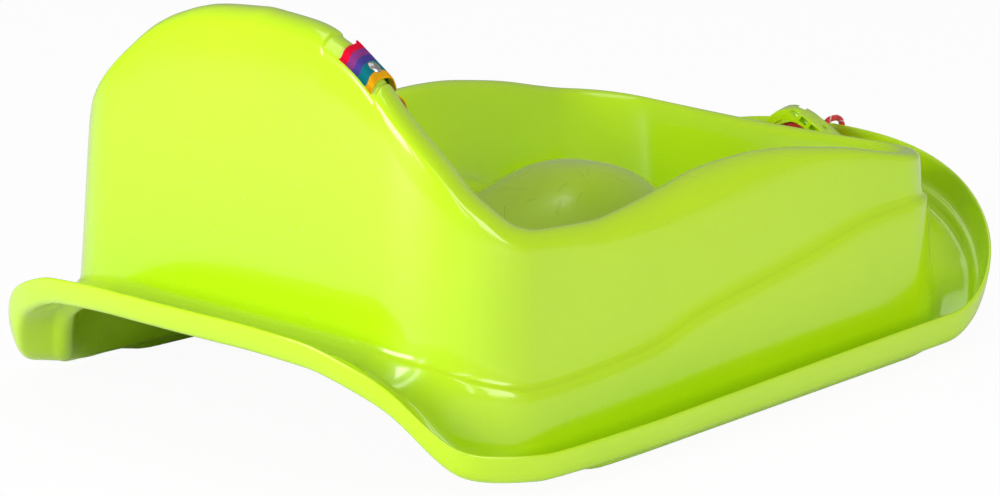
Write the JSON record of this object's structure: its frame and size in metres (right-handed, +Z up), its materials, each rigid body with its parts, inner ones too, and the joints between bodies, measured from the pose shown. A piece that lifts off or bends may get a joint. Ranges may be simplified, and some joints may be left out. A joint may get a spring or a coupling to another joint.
{
  "type": "child's plastic sled",
  "caption": "Child's moulded plastic snow sled with a high backrest, pommel, shoulder belt with side-release buckle, and a pull rope with grip coiled on the bow deck.",
  "frame": {"origin": "on the ground under the middle of the sled's box, without the rope", "axes": "+Z up, the bow points to -Y, the sled is as good as symmetric about the YZ plane"},
  "size_m": [0.4748, 0.7082, 0.29],
  "materials": {
    "lime_plastic": "glossy injection-moulded polyethylene, lime green",
    "webbing": "woven webbing with lengthwise stripes in red, purple, blue, teal and orange",
    "black_plastic": "satin black acetal",
    "steel": "bright plated steel",
    "rope": "braided cord, red with white and black flecks"
  },
  "bodies": {
    "sled": {"sled_shell": "lime_plastic", "belt_upper_strap": "webbing", "belt_lower_strap": "webbing", "buckle_socket": "black_plastic", "upper_rivet": "steel", "upper_washer": "steel", "lower_rivet": "steel", "lower_washer": "steel", "rope_lip_loop": "rope", "rope_knot": "rope", "rope_to_coil": "rope", "rope_coil": "rope", "rope_to_handle": "rope"},
    "adjuster": {"belt_adjuster": "black_plastic"},
    "tongue": {"buckle_tongue": "black_plastic"},
    "handle": {"pull_handle": "lime_plastic"}
  },
  "joints": [
    {"name": "adjuster_slide", "type": "slide", "parent": "sled", "child": "adjuster", "axis": [0.5066, -0.4614, -0.7283], "range_m": [-0.025, 0.025]},
    {"name": "buckle_release", "type": "slide", "parent": "sled", "child": "tongue", "axis": [0.8487, -0.5288, 0], "range_m": [0, 0.03], "deforming": ["belt_lower_strap"]},
    {"name": "handle_lift", "type": "hinge", "parent": "sled", "child": "handle", "pos_m": [-0.04136, -0.30806, 0.08411], "axis": [0.3311, -0.9436, 0], "range_deg": [0, 35], "deforming": ["rope_to_handle"]}
  ]
}
